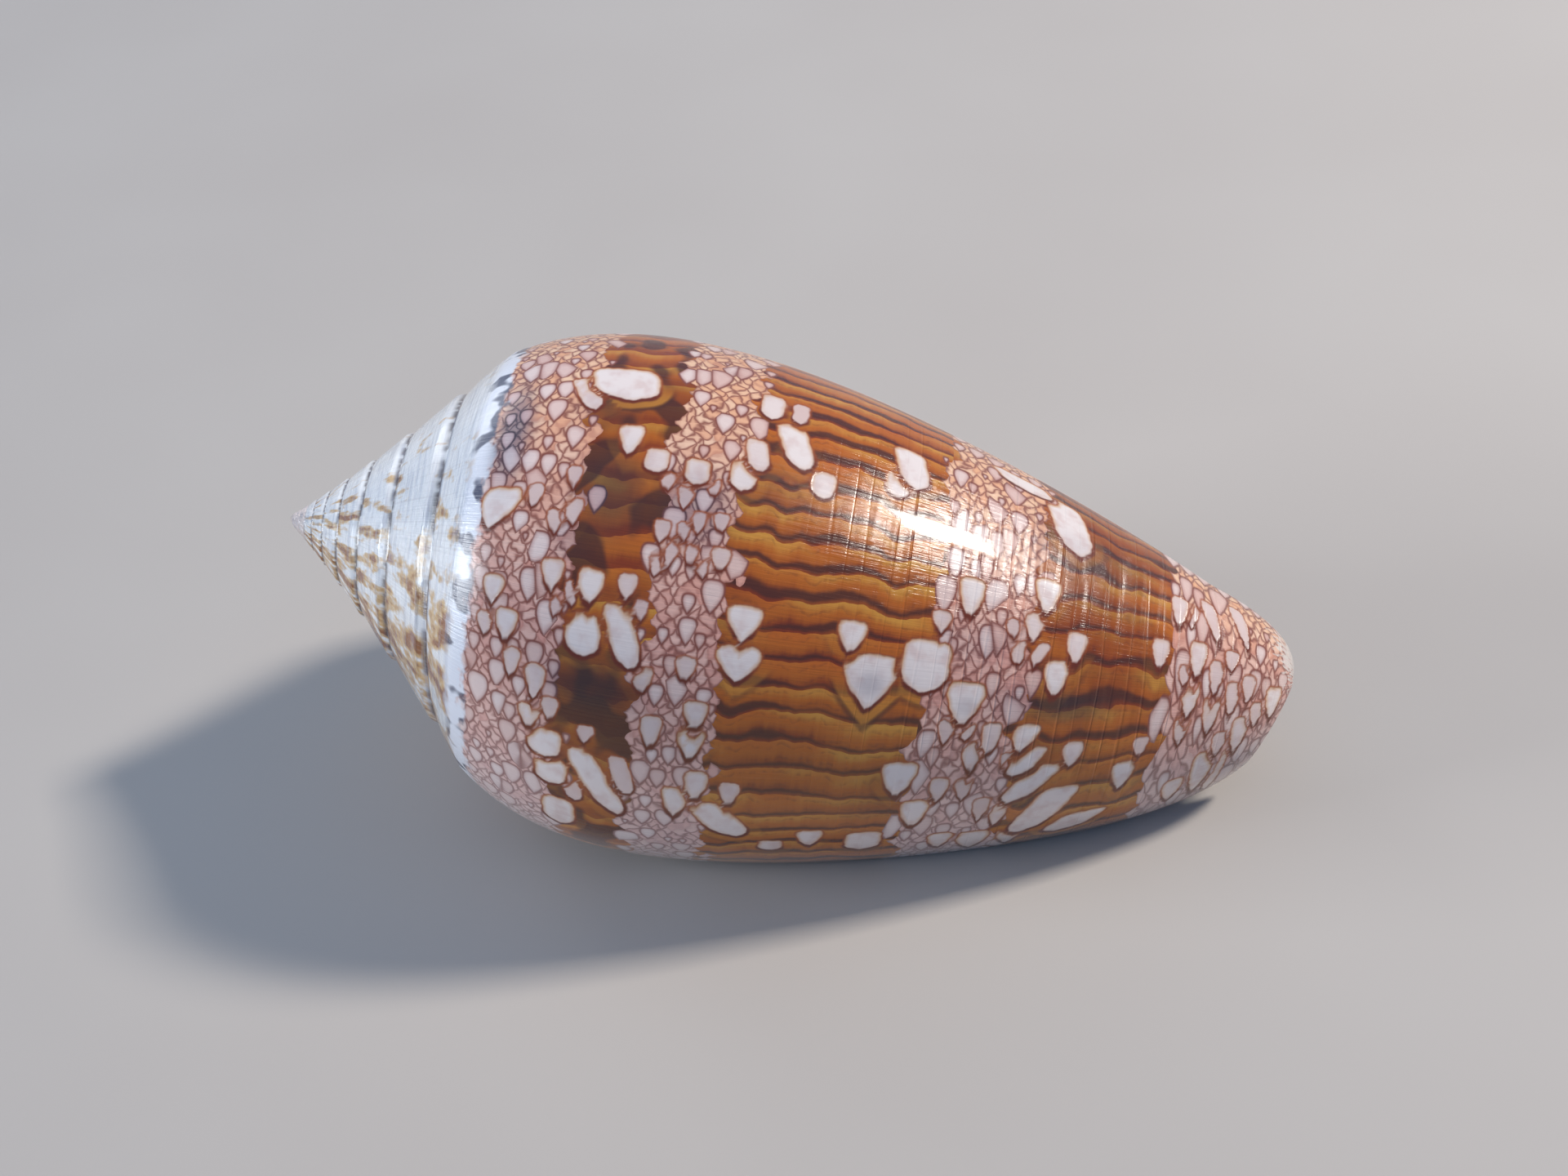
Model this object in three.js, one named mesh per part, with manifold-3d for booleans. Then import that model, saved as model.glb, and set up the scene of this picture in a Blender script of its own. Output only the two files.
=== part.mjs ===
// Cone shell: one piece of shell, wound in a right-handed spiral around a straight axis.
//
// The outer skin is worked out from the way the shell grew. "turn" counts whorls back from
// the outer lip: 0 is the lip, 1 is the older wall that the lip has grown round to meet.
// "down" runs along the body whorl, from 0 at the shoulder to 1 at the front tip, and
// "reach" is a distance along the axis from the apex. The shell is drawn with its axis
// along +X and its apex at the origin, and is then laid on its opening.

import * as THREE from 'three';
import { LoftGeometry } from 'three/addons/geometries/LoftGeometry.js';
import { mergeVertices } from 'three/addons/utils/BufferGeometryUtils.js';
import Module from 'manifold-3d';

// Driving dimensions: lengths are in millimetres, turns in whorls, the rest are ratios.

const SHELL_LENGTH = 70;

// Spire: a cone of about 86 degrees, slightly hollow. Its suture climbs to the apex from the
// place where the lip meets the older shoulder.
const SUTURE_RATIO = 1.4;
const SPIRE_HOLLOW = 0.1;
const WHORL_BULGE = 0.022;
const APEX_NUB = 0.35;

// Body whorl: how wide it is, how it rounds over at the shoulder and narrows to the tip.
const SHOULDER_AT_LIP = 15.3;
const SHOULDER_RATIO = 1.14;
const SHOULDER_DROP = 0.33;
const DROP_LOSS = 0.078;
const SHOULDER_SOFTNESS = 0.153;
const BODY_GIRTH = 22.6;
const TIP_POWER = 0.405;

// How much narrower the whorl was half a turn earlier, and how that grows towards the tip.
const HALF_TURN_RATIO = 0.858;
const TIP_RATIO_LOSS = 0.297;
const LOSS_START = 0.1;
const LOSS_SPAN = 0.78;
const LOSS_POWER = 2.2;

// Opening: a long slit behind the lip, which leads back inside the last whorl.
const LIP_WALL = 0.9;
const INNER_WALL = 1.7;
const WALL_TURN = 0.2;
const SLIT_FRONT_TURN = 0.009;
const SLIT_DEPTH_TURN = 0.72;
const SLIT_TAPER_TURN = 0.42;
const SLIT_TAPER = 0.8;
const SLIT_TOP = 0.035;
const SLIT_CLEAR = 0.15;
const SLIT_LEAST_GAP = 0.35;
const LIP_END_REACH = 66;
const NOTCH_REACH = 71.5;
const NOTCH_TURN = 0.09;
const CANAL_REACH = 64;
const CANAL_TURN = 0.34;

// Resting pose: the lip is under the near side, and the front tip is low.
const REST_ROLL_DEG = 133.2;
const REST_PITCH_DEG = 10.9;

// Fineness of the facets, and how rows crowd together where the outline bends.
const COLUMNS = 62;
const SPIRE_ROWS = 15;
const BODY_ROWS = 24;
const SLIT_ROWS = 16;
const SLIT_STATIONS = 20;
const LIP_STEP_TURN = 0.006;
const APEX_CROWDING = 1.6;
const SHOULDER_CROWDING = 1.3;
const TIP_CROWDING = 2;
const LAST_DOWN = 0.9995;
const MERGE_GAP = 1e-4;

const SHELL_COLOUR = 0xc08a52;
const SHELL_ROUGHNESS = 0.25;

// Growth laws

function clamp01(value) {
  return Math.min(1, Math.max(0, value));
}

function smooth(value) {
  const t = clamp01(value);
  return t * t * (3 - 2 * t);
}

function shoulderReach(turn) {
  return SHOULDER_AT_LIP * Math.pow(SHOULDER_RATIO, -turn);
}

function halfTurnRatio(down) {
  const loss = Math.pow(clamp01((down - LOSS_START) / LOSS_SPAN), LOSS_POWER);
  return HALF_TURN_RATIO - TIP_RATIO_LOSS * loss;
}

function bodyPoint(down, turn) {
  const start = shoulderReach(turn);
  const drop = SHOULDER_DROP - DROP_LOSS * turn;
  const shoulder = 1 - drop * Math.exp(-down / SHOULDER_SOFTNESS);
  const taper = Math.pow(1 - down, TIP_POWER);
  const grown = Math.pow(halfTurnRatio(down), 2 * turn);
  return {
    reach: start + down * (SHELL_LENGTH - start),
    radius: BODY_GIRTH * taper * shoulder * grown,
  };
}

const lipSuture = bodyPoint(0, 1);

function coneRadius(reach) {
  return lipSuture.radius * Math.pow(reach / lipSuture.reach, 1 + SPIRE_HOLLOW);
}

// On the spire each older whorl still bulges a little between its sutures, and the ramp of
// the last whorl rises from its suture to meet the shoulder.
function spirePoint(part, turn) {
  const end = shoulderReach(turn);
  const suture = lipSuture.reach * Math.pow(SUTURE_RATIO, -turn);
  const reach = Math.max(end * part, APEX_NUB);
  const whorls = Math.log(suture / reach) / Math.log(SUTURE_RATIO);
  const across = 1 - (whorls - Math.floor(whorls));
  const ramp = smooth((reach - suture) / (end - suture));
  const bulge = WHORL_BULGE * reach * Math.sqrt(4 * across * (1 - across)) * (1 - ramp);
  const lift = (bodyPoint(0, turn).radius - coneRadius(end)) * ramp;
  return { reach: reach - bulge, radius: coneRadius(reach) + bulge + lift };
}

// Radius of the body whorl's outside at a given distance along the axis.
function radiusAt(reach, turn) {
  const start = shoulderReach(turn);
  const down = clamp01((reach - start) / (SHELL_LENGTH - start));
  return bodyPoint(Math.min(down, LAST_DOWN), turn).radius;
}

// Seen from the apex the shell grows clockwise, so older turns lie anticlockwise of the lip.
function place(point, turn) {
  const angle = -turn * 2 * Math.PI;
  return new THREE.Vector3(
    point.reach,
    -point.radius * Math.sin(angle),
    point.radius * Math.cos(angle),
  );
}

// Outer skin: rings from the front tip to the apex. Each ring goes once round, back from
// the lip, and closes over the step between the lip and the older wall beside it.

function skinRing(pointAt) {
  const ring = [];
  for (let column = 0; column < COLUMNS; column += 1) {
    const turn = (column / (COLUMNS - 1)) * (1 - LIP_STEP_TURN);
    ring.push(place(pointAt(turn), turn));
  }
  return ring;
}

function skinGeometry() {
  const rings = [];
  for (let row = 1; row <= SPIRE_ROWS; row += 1) {
    const part = Math.pow(row / SPIRE_ROWS, APEX_CROWDING);
    rings.push(skinRing((turn) => spirePoint(part, turn)));
  }
  for (let row = 1; row <= BODY_ROWS; row += 1) {
    const left = 1 - Math.pow(row / BODY_ROWS, SHOULDER_CROWDING);
    const down = Math.min(1 - Math.pow(left, TIP_CROWDING), LAST_DOWN);
    rings.push(skinRing((turn) => bodyPoint(down, turn)));
  }
  return new LoftGeometry(rings.reverse(), { capStart: true, capEnd: true });
}

// Space inside: a tube that follows the whorl back from the slit and tapers until it ends.
// Its front end runs out past the tip, which leaves the notch beside the end of the lip.

function slitLoop(turn) {
  const wall = LIP_WALL + (INNER_WALL - LIP_WALL) * smooth(turn / WALL_TURN);
  const taper = smooth((turn - SLIT_TAPER_TURN) / (SLIT_DEPTH_TURN - SLIT_TAPER_TURN));
  const canal = smooth((turn - NOTCH_TURN) / (CANAL_TURN - NOTCH_TURN));
  const top = bodyPoint(SLIT_TOP, turn).reach;
  const end = NOTCH_REACH + (CANAL_REACH - NOTCH_REACH) * canal;
  const outside = [];
  const inside = [];
  for (let row = 0; row <= SLIT_ROWS; row += 1) {
    const reach = top + (end - top) * (row / SLIT_ROWS);
    const inner = radiusAt(reach, turn + 1) + SLIT_CLEAR;
    const roof = radiusAt(Math.min(reach, LIP_END_REACH), turn) - wall;
    const gap = Math.max((roof - inner) * (1 - SLIT_TAPER * taper), SLIT_LEAST_GAP);
    outside.push(place({ reach, radius: inner + gap }, turn));
    inside.push(place({ reach, radius: inner }, turn));
  }
  return outside.concat(inside.reverse());
}

function slitGeometry() {
  const loops = [];
  for (let station = 0; station <= SLIT_STATIONS; station += 1) {
    loops.push(slitLoop((station / SLIT_STATIONS) * SLIT_DEPTH_TURN - SLIT_FRONT_TURN));
  }
  return new LoftGeometry(loops, { capStart: true, capEnd: true });
}

// Solids

const wasm = await Module();
wasm.setup();

function toSolid(geometry) {
  const bare = new THREE.BufferGeometry();
  bare.setAttribute('position', geometry.getAttribute('position'));
  bare.setIndex(geometry.getIndex());
  const merged = mergeVertices(bare, MERGE_GAP);
  return new wasm.Manifold(new wasm.Mesh({
    numProp: 3,
    vertProperties: new Float32Array(merged.attributes.position.array),
    triVerts: new Uint32Array(merged.index.array),
  }));
}

function toGeometry(solid) {
  const mesh = solid.getMesh();
  const geometry = new THREE.BufferGeometry();
  geometry.setAttribute('position', new THREE.BufferAttribute(mesh.vertProperties, 3));
  geometry.setIndex(new THREE.BufferAttribute(mesh.triVerts, 1));
  return geometry;
}

// The origin is under the middle of the shell, on the surface that it lies on.
function layDown(geometry) {
  geometry.rotateX(THREE.MathUtils.degToRad(REST_ROLL_DEG));
  geometry.rotateY(THREE.MathUtils.degToRad(REST_PITCH_DEG));
  geometry.computeBoundingBox();
  const { min, max } = geometry.boundingBox;
  geometry.translate(-(min.x + max.x) / 2, -(min.y + max.y) / 2, -min.z);
  geometry.computeVertexNormals();
  return geometry;
}

const shellSolid = toSolid(skinGeometry()).subtract(toSolid(slitGeometry()));

const shell = new THREE.Mesh(
  layDown(toGeometry(shellSolid)),
  new THREE.MeshStandardMaterial({ color: SHELL_COLOUR, roughness: SHELL_ROUGHNESS, metalness: 0 }),
);
shell.name = 'shell';

const coneShell = new THREE.Group();
coneShell.name = 'cone_shell';
coneShell.add(shell);

export default coneShell;
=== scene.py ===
# %% [markdown]
# # A cone shell
#
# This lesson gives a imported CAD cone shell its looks. The real one is a single piece that a sea
# snail grew: a stepped spire, a long body whorl with white tents over orange-brown bands, and a
# slit of an opening under it. The CAD solid already has the right size and lies the right way,
# so the first step loads it as a fixed frame and notes its box.

import math
import random

import bmesh
import bpy
import numpy as np
from mathutils import Color, Matrix, Vector
from mathutils.bvhtree import BVHTree


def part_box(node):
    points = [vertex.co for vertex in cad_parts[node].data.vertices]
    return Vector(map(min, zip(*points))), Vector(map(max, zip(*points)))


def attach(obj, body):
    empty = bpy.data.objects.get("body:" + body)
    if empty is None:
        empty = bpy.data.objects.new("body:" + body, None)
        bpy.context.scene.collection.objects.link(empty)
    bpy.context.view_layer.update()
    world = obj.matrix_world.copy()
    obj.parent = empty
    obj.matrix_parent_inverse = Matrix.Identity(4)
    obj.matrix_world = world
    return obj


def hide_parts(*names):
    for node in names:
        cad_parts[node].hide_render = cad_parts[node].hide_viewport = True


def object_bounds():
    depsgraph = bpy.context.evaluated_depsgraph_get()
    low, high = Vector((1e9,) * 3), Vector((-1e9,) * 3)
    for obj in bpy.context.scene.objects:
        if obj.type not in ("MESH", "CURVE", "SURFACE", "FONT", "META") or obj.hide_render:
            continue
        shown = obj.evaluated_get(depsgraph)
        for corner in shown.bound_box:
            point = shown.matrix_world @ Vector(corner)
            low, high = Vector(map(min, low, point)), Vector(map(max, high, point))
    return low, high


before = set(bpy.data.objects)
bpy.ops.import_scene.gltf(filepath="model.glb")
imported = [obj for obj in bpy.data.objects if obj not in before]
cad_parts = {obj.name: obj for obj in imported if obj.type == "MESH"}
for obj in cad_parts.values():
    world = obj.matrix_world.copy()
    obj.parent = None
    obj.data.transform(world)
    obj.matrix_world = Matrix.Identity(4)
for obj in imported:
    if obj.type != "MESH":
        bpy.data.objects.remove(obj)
cad_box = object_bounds()
MM = 0.001
cad_corners = [tuple(round(v, 4) for v in corner) for corner in cad_box]
print("nodes", sorted(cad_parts), "box", cad_corners)

# %% [markdown]
# ## Growth laws
#
# A snail adds shell only at its lip, and every whorl repeats the one before at a larger size. So
# the outside can be worked out from a few laws, which is closer to the real thing than sculpting.
# `turn` counts whorls back from the lip, `down` runs along the body whorl from 0 at the shoulder
# to 1 at the front tip, and `reach` is the distance along the axis from the apex. Lengths are in
# millimetres, and the laws are the ones that the CAD solid follows.

# %% Growth laws
LENGTH = 70.0
SHOULDER_AT_LIP = 15.3
SHOULDER_RATIO = 1.14
SHOULDER_DROP = 0.33
DROP_LOSS = 0.078
SHOULDER_SOFTNESS = 0.153
GIRTH = 22.6
TIP_POWER = 0.405
HALF_TURN_RATIO = 0.858
TIP_RATIO_LOSS = 0.297
LOSS_START = 0.1
LOSS_SPAN = 0.78
LOSS_POWER = 2.2
SUTURE_RATIO = 1.4
SPIRE_HOLLOW = 0.1


def smooth(value):
    """0 below 0, 1 above 1, with an even S between."""
    step = np.clip(value, 0.0, 1.0)
    return step * step * (3.0 - 2.0 * step)


def shoulder_reach(turn):
    return SHOULDER_AT_LIP * SHOULDER_RATIO ** -turn


def body_point(down, turn):
    """Reach and radius of the body whorl."""
    start = shoulder_reach(turn)
    loss = np.clip((down - LOSS_START) / LOSS_SPAN, 0.0, 1.0) ** LOSS_POWER
    grown = (HALF_TURN_RATIO - TIP_RATIO_LOSS * loss) ** (2.0 * turn)
    shoulder = 1.0 - (SHOULDER_DROP - DROP_LOSS * turn) * np.exp(-down / SHOULDER_SOFTNESS)
    taper = np.maximum(1.0 - down, 0.0) ** TIP_POWER
    return start + down * (LENGTH - start), GIRTH * taper * shoulder * grown


LIP_SUTURE = body_point(0.0, 1.0)


def suture_point(turn):
    """Reach and radius of the seam where a whorl meets the one before it."""
    reach = LIP_SUTURE[0] * SUTURE_RATIO ** -turn
    return reach, LIP_SUTURE[1] * (reach / LIP_SUTURE[0]) ** (1.0 + SPIRE_HOLLOW)


print("reach and radius of the suture at the lip", [round(float(v), 2) for v in LIP_SUTURE], "mm")

# %% [markdown]
# ## Places on the shell
#
# Markings are easier to draw in the shell's own directions than in the room's. `along` is the
# length in millimetres over the surface from the shoulder towards the tip, measured on one typical
# meridian, and rows crowd a little at both ends where the outline bends. The front edge of the lip
# is cut back, which leaves the notch that the living animal's siphon came through.

# %% Places on the shell
SHOULDER_CROWDING = 1.15
TIP_CROWDING = 1.6
TYPICAL_TURN = 0.25
MERIDIAN_STEPS = 600
NOTCH = 0.04
NOTCH_TURN = 0.26


def crowd(part):
    return 1.0 - (1.0 - part**SHOULDER_CROWDING) ** TIP_CROWDING


def front(turn):
    """The share of the way to the tip that the wall reaches."""
    return 1.0 - NOTCH * (1.0 - smooth(turn / NOTCH_TURN))


DOWN_STEPS = crowd(np.linspace(0.0, 1.0, MERIDIAN_STEPS))
meridian = np.stack(body_point(DOWN_STEPS, TYPICAL_TURN))
ALONG_STEPS = np.append(0.0, np.cumsum(np.hypot(*np.diff(meridian, axis=1))))
widest = 2.0 * meridian[1].max()
print("mm from shoulder to tip", ALONG_STEPS[-1].round(1), "widest", widest.round(1))

# %% [markdown]
# ## Sheets
#
# The skin, the spire, the inner walls and the lip are all sheets that curve round the axis. Each
# starts as a flat grid from `create_grid`, and its vertices then move to where the growth laws put
# them. Lathe or sculpt tools would lose the spiral, while a grid keeps its rows along the growth
# and its columns along the axis, which the markings use later. Every vertex also carries a few
# numbers that say where on the shell it is, and its place on a flat map of the whole skin. Each sheet
# fills a rectangle of that map, so colours baked into a picture waste little of it and none overlap.

# %% Sheets
MARKS = ("along", "turn", "girth", "ramp", "inside")
MAP_PLACE = ("map_u", "map_v")
MAP_GAP = 0.004
shell_bm = bmesh.new()
mark_layers = [shell_bm.verts.layers.float.new("sheet_" + name) for name in MARKS + MAP_PLACE]


def add_sheet(columns, rows, law, patch, turned=False):
    """Adds a grid and bends it by law, which turns two fractions into places on the shell.

    The patch is the left, bottom, width and height of its rectangle on the map, and a turned
    sheet lies on its side there.
    """
    made = bmesh.ops.create_grid(shell_bm, x_segments=columns, y_segments=rows, size=0.5)
    spots = np.array([vert.co[:2] for vert in made["verts"]], float) + 0.5
    reach, radius, turn, along, ramp, inside = np.broadcast_arrays(*law(spots[:, 0], spots[:, 1]))
    angle = 2.0 * math.pi * turn
    points = np.stack([reach, radius * np.sin(angle), radius * np.cos(angle)], axis=1)
    left, bottom, width, height = patch
    on_map = (spots[:, ::-1] if turned else spots) * (width, height) + (left, bottom)
    marks = np.column_stack([along, turn, 2.0 * math.pi * radius, ramp, inside, on_map])
    for vert, point, values in zip(made["verts"], points.tolist(), marks.tolist()):
        vert.co = point
        for layer, value in zip(mark_layers, values):
            vert[layer] = value
    return len(made["verts"])


# %% [markdown]
# ## Body whorl
#
# The body whorl goes once round, from the lip at turn 0 back to turn 1, where the lip has grown
# over it. Its rows end at the front tip, or at the notch near the lip.

# %% Body whorl
COLUMNS = 330
BODY_ROWS = 196
BODY_PATCH = (0.0, 0.0, 1.0, 0.62)


def body_law(turn, part):
    down = crowd(part) * front(turn)
    reach, radius = body_point(down, turn)
    return reach, radius, turn, np.interp(down, DOWN_STEPS, ALONG_STEPS), 1.0, 0.0


print("body whorl vertices", add_sheet(COLUMNS, BODY_ROWS, body_law, BODY_PATCH))

# %% [markdown]
# ## Spire
#
# What is left of the older whorls is one long ribbon that winds up to the apex. Its inner edge is
# the seam with the whorl before it, and its outer edge is the seam of the next whorl, or the
# shoulder on the last whorl. The ribbon swells towards its outer edge and drops into a groove
# there, so the spire has the fine steps of the real one. Low ripples are past growth edges. It is
# added one whorl at a time, and on the map each whorl is a strip that is smaller than the last.

# %% Spire
WHORLS = 9.5
RIBBON_ROWS = 8
STEP_HEIGHT = 0.075
STEP_POWER = 0.7
STEP_EDGE = 0.9
LAST_SWELL = 0.03
SEAM_TURN = 0.05
NUB = 0.15
NUB_TIP = 0.35
NUB_FADE = 4.0
RIPPLES_PER_TURN = 34.0
RIPPLE_HEIGHT = 0.012
RIPPLE_LEAN = 1.3
STRIPS_FROM = 0.727
STRIP_HEIGHT = 0.06
LEAST_STRIP_HEIGHT = 0.01
LEAST_STRIP_WIDTH = 0.3


def ribbon_law(turn, across):
    inner = np.stack(suture_point(turn))
    shoulder = np.stack(body_point(0.0, turn))
    covered = np.stack(suture_point(turn - 1.0))
    outer = np.where(turn <= 1.0, shoulder, covered)
    width = np.hypot(*(outer - inner))
    slope = (outer - inner) / width
    old = smooth((turn - 1.0) / SEAM_TURN + 0.5)
    groove = smooth((across - STEP_EDGE) / (1.0 - STEP_EDGE))
    step = STEP_HEIGHT * across**STEP_POWER * (1.0 - groove)
    swell = LAST_SWELL * np.sin(math.pi * across)
    ripple = np.sin(2.0 * math.pi * (RIPPLES_PER_TURN * turn + RIPPLE_LEAN * across))
    ripple_height = RIPPLE_HEIGHT / width * 4.0 * across * (1.0 - across)
    rise = width * (old * step + (1.0 - old) * swell + ripple_height * ripple)
    reach = inner[0] + across * (outer - inner)[0] - slope[1] * rise
    radius = inner[1] + across * (outer - inner)[1] + slope[0] * rise
    blunt = (np.sqrt(reach**2 + NUB**2) - reach) * (1.0 - smooth(reach / NUB_FADE))
    return reach + blunt, radius, turn, (across - 1.0) * width, across, 0.0


spire_vertices = 0
strip_bottom = STRIPS_FROM
for whorl in range(math.ceil(WHORLS)):
    share = min(1.0, WHORLS - whorl)
    size = SUTURE_RATIO**-whorl
    height = max(STRIP_HEIGHT * size, LEAST_STRIP_HEIGHT)
    strip = (0.0, strip_bottom, max(size, LEAST_STRIP_WIDTH), height)
    spire_vertices += add_sheet(
        round(COLUMNS * share),
        RIBBON_ROWS,
        lambda part, across: ribbon_law(whorl + part * share, across),
        strip,
    )
    strip_bottom += height + MAP_GAP
print("spire vertices", spire_vertices, "strips end at", round(strip_bottom, 3))

# %% [markdown]
# ## Opening
#
# Behind the lip a narrow space leads back inside the last whorl. Two sheets bound it: the older
# wall, which simply carries the body whorl on past turn 1, and the inside of the lip, which lies
# under the outer skin by the thickness of the wall. They meet along the top and at the deep end,
# where the space closes.

# %% Opening
DEPTH_TURN = 0.42
CLOSING_TURN = 0.2
INNER_COLUMNS = 14
TOP_OPENING = 0.07
LIP_WALL = 0.8
INNER_WALL = 1.5
WALL_TURN = 0.2
MOST_WALL = 0.45
EDGE_THIN = 0.12
EDGE_LOSS = 0.6
GLAZE_TURN = 0.04
OLDER_PATCH = (0.0, 0.625, 1.0, 0.05)
INNER_PATCH = (0.0, 0.68, 1.0, 0.025)


def older_wall_law(part, part_down):
    turn = 1.0 + part * DEPTH_TURN
    reach, radius = body_point(crowd(part_down), turn)
    glaze = smooth((turn - 1.0) / GLAZE_TURN)
    return reach, radius, turn, np.interp(crowd(part_down), DOWN_STEPS, ALONG_STEPS), 1.0, glaze


def inner_wall_law(part, part_down):
    turn = part * DEPTH_TURN
    reach, radius, _, along, ramp, _ = body_law(turn, part_down)
    old_reach, old_radius = body_point(crowd(part_down), turn + 1.0)
    wall = LIP_WALL + (INNER_WALL - LIP_WALL) * smooth(turn / WALL_TURN)
    thin = 1.0 - EDGE_LOSS * smooth((part_down - 1.0 + EDGE_THIN) / EDGE_THIN)
    depth = np.minimum(wall * thin, MOST_WALL * radius)
    inner = np.maximum(radius - depth, np.minimum(radius, old_radius))
    closing = smooth((turn - CLOSING_TURN) / (DEPTH_TURN - CLOSING_TURN))
    opened = smooth(part_down / TOP_OPENING) * (1.0 - closing)
    return (
        old_reach + (reach - old_reach) * opened,
        old_radius + (inner - old_radius) * opened,
        turn,
        along,
        ramp,
        1.0,
    )


older_vertices = add_sheet(INNER_COLUMNS, BODY_ROWS, older_wall_law, OLDER_PATCH, turned=True)
inner_vertices = add_sheet(INNER_COLUMNS, BODY_ROWS, inner_wall_law, INNER_PATCH, turned=True)
print("opening vertices", older_vertices + inner_vertices)

# %% [markdown]
# ## Lip
#
# The lip is the newest shell, a thin rounded edge. Its sheet runs from the outer skin to the inner
# wall and bulges forwards between them. Beside the spire the inner side shrinks to one point,
# where the lip meets the older shoulder.

# %% Lip
LIP_COLUMNS = 4
LIP_ROWS = RIBBON_ROWS + BODY_ROWS
LIP_ROUND = 0.42
LIP_GLAZE = 0.3
LIP_PATCH = (0.0, 0.71, 1.0, 0.012)


def lip_law(across, part):
    row = np.rint(part * LIP_ROWS)
    on_body = np.clip((row - RIBBON_ROWS) / BODY_ROWS, 0.0, 1.0)
    on_ramp = np.clip(row / RIBBON_ROWS, 0.0, 1.0)
    zero = np.zeros_like(part)
    body, ribbon = body_law(zero, on_body), ribbon_law(zero, on_ramp)
    outer = np.where(row <= RIBBON_ROWS, np.stack(ribbon[:2]), np.stack(body[:2]))
    along = np.where(row <= RIBBON_ROWS, ribbon[3], body[3])
    inner = np.stack(inner_wall_law(zero, on_body)[:2])
    reach, radius = outer + (inner - outer) * across
    bulge = LIP_ROUND * np.minimum(np.hypot(*(inner - outer)), LIP_WALL) * np.sin(math.pi * across)
    glaze = LIP_GLAZE + (1.0 - LIP_GLAZE) * across
    return reach, radius, -bulge / (2.0 * math.pi * radius), along, 1.0, glaze


print("lip vertices", add_sheet(LIP_COLUMNS, LIP_ROWS, lip_law, LIP_PATCH, turned=True))

# %% [markdown]
# ## Numbers on the corners
#
# The sheets share their edges, so merging doubles will join them. At a seam of the spire one vertex
# then belongs to two whorls and can't hold the numbers of both. So before the merge the numbers move
# to the corners of the faces, which Blender calls loops, and the place on the map becomes a UV map.

# %% Numbers on the corners
map_layer = shell_bm.loops.layers.uv.new("OFBake")
corner_layers = [shell_bm.loops.layers.float.new(name) for name in MARKS]


def marks_to_corners(faces):
    for face in faces:
        for corner in face.loops:
            values = [corner.vert[layer] for layer in mark_layers]
            for layer, value in zip(corner_layers, values):
                corner[layer] = value
            corner[map_layer].uv = values[len(MARKS) :]


marks_to_corners(shell_bm.faces)
print("faces in the sheets", len(shell_bm.faces))

# %% [markdown]
# ## One closed skin
#
# Once the doubles are merged, two small holes are left: the front edge between the outer and inner
# wall, and the very top of the apex. `holes_fill` closes both, and `poke` lifts the apex into the
# nub that the young snail hatched with. The mesh is then closed, so its normals can be made to point
# outwards everywhere. The filled faces lie on the map as they look from the front.

# %% One closed skin
MERGE_MM = 0.0004
FRONT_PATCH = (0.6, 0.93, 0.05, 0.05)
APEX_PATCH = (0.7, 0.93, 0.02, 0.02)


def map_from_front(faces, patch):
    """Gives the faces their places in a patch of the map, as they look along the axis."""
    corners = [corner for face in faces for corner in face.loops]
    seen = np.array([corner.vert.co[1:] for corner in corners])
    shares = (seen - seen.min(0)) / np.ptp(seen, axis=0)
    for corner, place in zip(corners, shares * patch[2:] + patch[:2]):
        corner[map_layer].uv = place


bmesh.ops.remove_doubles(shell_bm, verts=shell_bm.verts, dist=MERGE_MM)
bmesh.ops.dissolve_degenerate(shell_bm, edges=shell_bm.edges, dist=MERGE_MM / 2)
open_edges = [edge for edge in shell_bm.edges if edge.is_boundary]
filled = bmesh.ops.holes_fill(shell_bm, edges=open_edges, sides=0)["faces"]
apex_fill = [face for face in filled if face.calc_center_median().x < LENGTH / 2]
front_fill = [face for face in filled if face not in apex_fill]
marks_to_corners(front_fill)
poked = bmesh.ops.poke(shell_bm, faces=apex_fill)
bmesh.ops.translate(shell_bm, verts=poked["verts"], vec=(-NUB_TIP, 0.0, 0.0))
for vert in poked["verts"]:
    neighbour = vert.link_edges[0].other_vert(vert)
    for layer in mark_layers:
        vert[layer] = neighbour[layer]
marks_to_corners(poked["faces"])
map_from_front(poked["faces"], APEX_PATCH)
map_from_front(front_fill, FRONT_PATCH)
bmesh.ops.triangulate(shell_bm, faces=front_fill)
bmesh.ops.recalc_face_normals(shell_bm, faces=shell_bm.faces)
for name in MARKS + MAP_PLACE:
    shell_bm.verts.layers.float.remove(shell_bm.verts.layers.float["sheet_" + name])
loose = sum(not edge.is_manifold for edge in shell_bm.edges)
print("open edges filled", len(open_edges), "faces", len(shell_bm.faces), "edges left open", loose)

# %% [markdown]
# ## Laid on its opening
#
# The shell rolls onto its lip and belly, and the axis dips towards the front tip. The turn angles
# are the CAD solid's, and the middle of the CAD node's underside gives the place, so the piece lies
# exactly where the CAD node does.

# %% Laid on its opening
REST_ROLL = math.radians(133.2)
REST_PITCH = math.radians(10.9)

laid = Matrix.Rotation(REST_PITCH, 4, "Y") @ Matrix.Rotation(REST_ROLL, 4, "X")
bmesh.ops.transform(shell_bm, matrix=Matrix.Scale(MM, 4) @ laid, verts=shell_bm.verts)
spread = np.array([vert.co[:] for vert in shell_bm.verts])
low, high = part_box("shell")
foot = Vector(((low.x + high.x) / 2, (low.y + high.y) / 2, low.z))
own_foot = Vector((*(spread.min(0)[:2] + spread.max(0)[:2]) / 2, spread[:, 2].min()))
bmesh.ops.translate(shell_bm, verts=shell_bm.verts, vec=foot - own_foot)
to_shell = (Matrix.Translation(foot - own_foot) @ Matrix.Scale(MM, 4) @ laid).inverted()

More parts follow.
